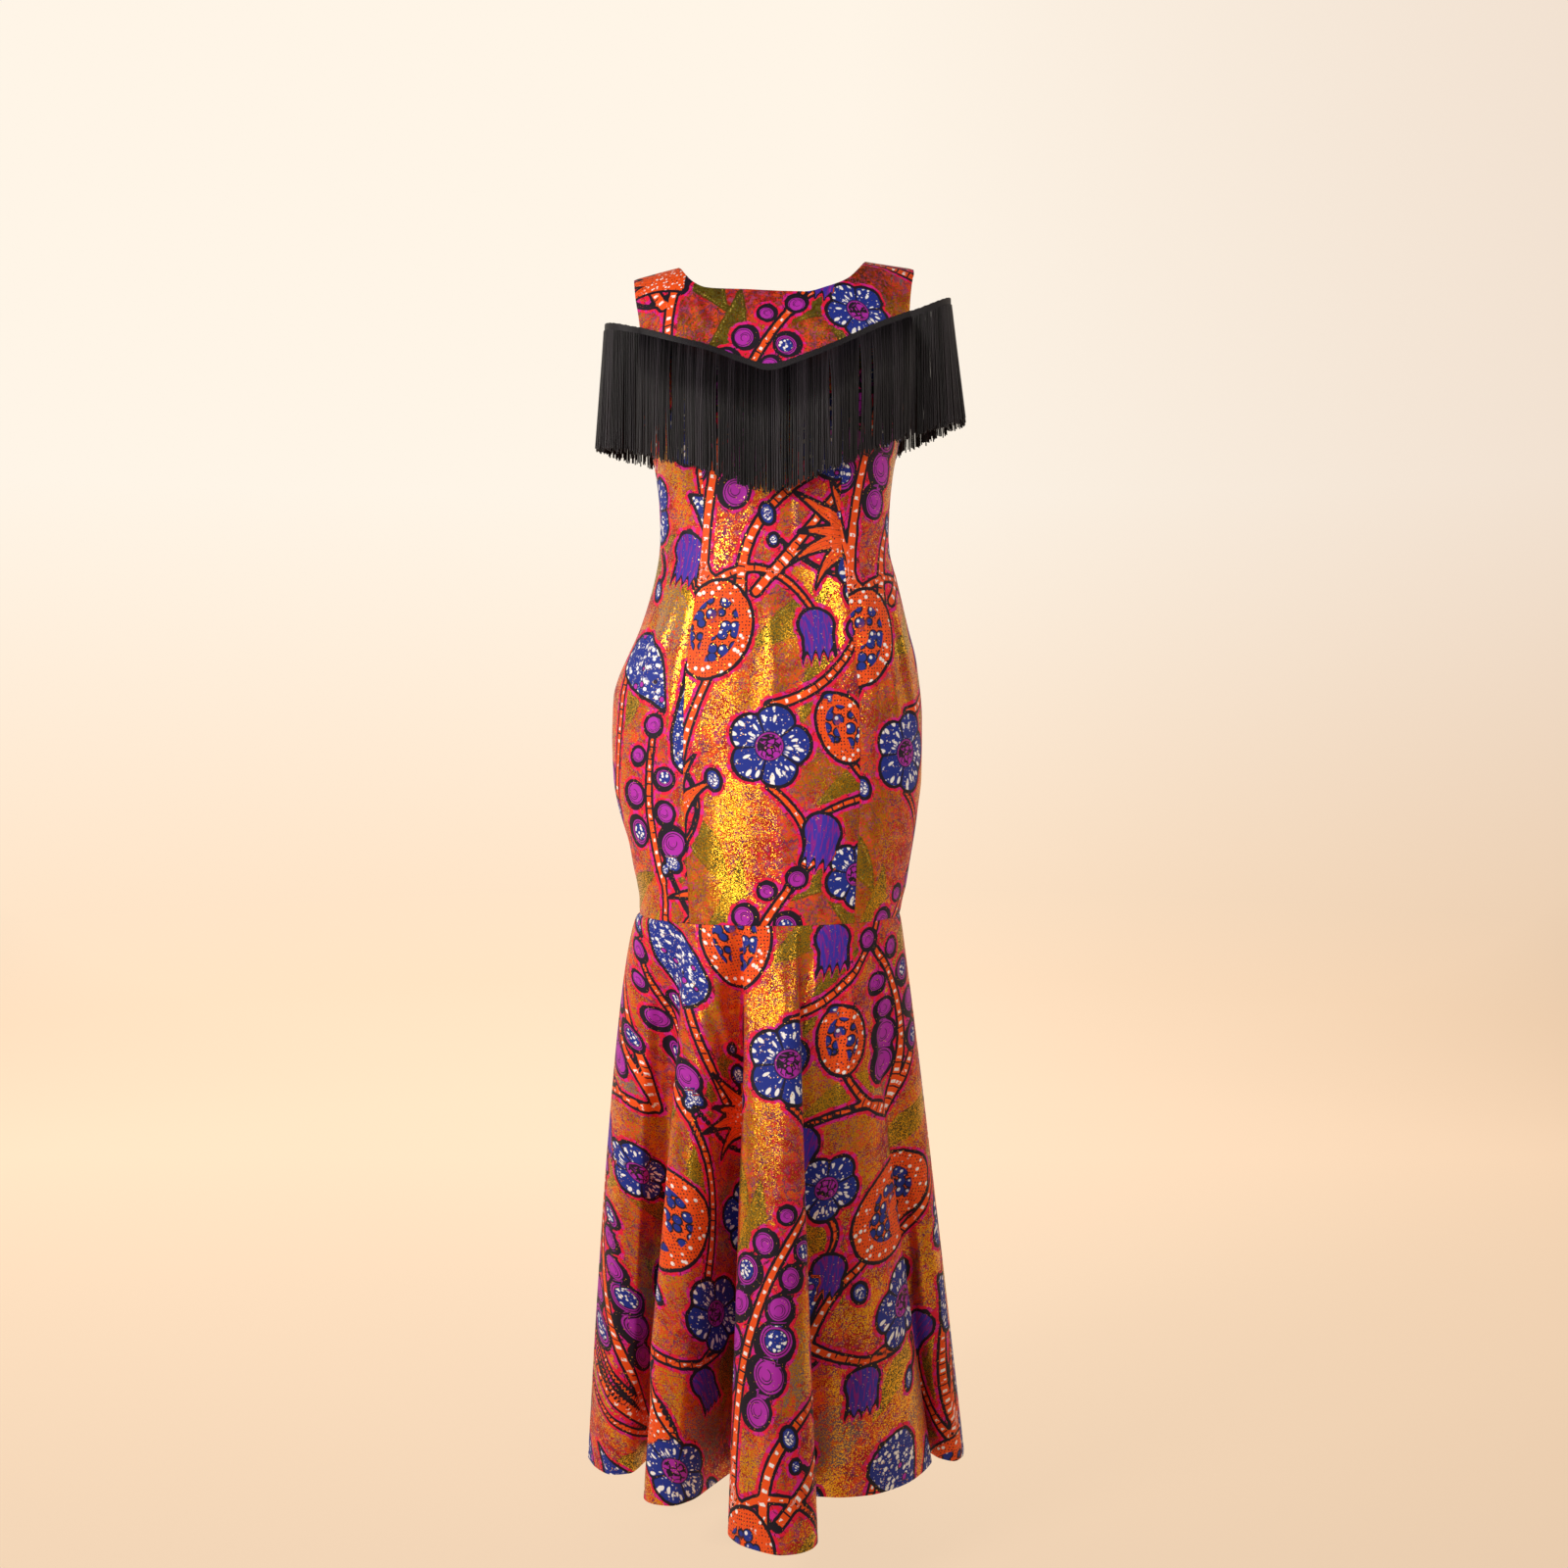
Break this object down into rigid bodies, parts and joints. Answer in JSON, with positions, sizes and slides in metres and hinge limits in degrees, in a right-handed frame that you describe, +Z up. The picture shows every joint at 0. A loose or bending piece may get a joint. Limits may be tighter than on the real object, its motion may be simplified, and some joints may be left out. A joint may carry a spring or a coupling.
{
  "type": "maxi dress",
  "caption": "Sleeveless trumpet maxi dress with a wide neck, princess seams, a folded flare below the knee and a fringe trim round the upper arms.",
  "frame": {"origin": "midway between the shoulders, at the height where the dress hangs on them", "axes": "+Z up, the front faces -Y, +X towards the wearer's left"},
  "size_m": [0.4457, 0.4783, 1.4018],
  "materials": {
    "wax_print_cotton": "printed cotton with gold glitter",
    "facing_cotton": "matte black cotton",
    "fringe_yarn": "satin black rayon"
  },
  "bodies": {
    "root": {"front_centre": "wax_print_cotton", "front_side_right": "wax_print_cotton", "front_side_left": "wax_print_cotton", "back_right": "wax_print_cotton", "back_left": "wax_print_cotton", "flare_front": "wax_print_cotton", "flare_back": "wax_print_cotton", "neck_facing_front": "facing_cotton", "neck_facing_back": "facing_cotton", "fringe_trim": "fringe_yarn"}
  },
  "joints": []
}
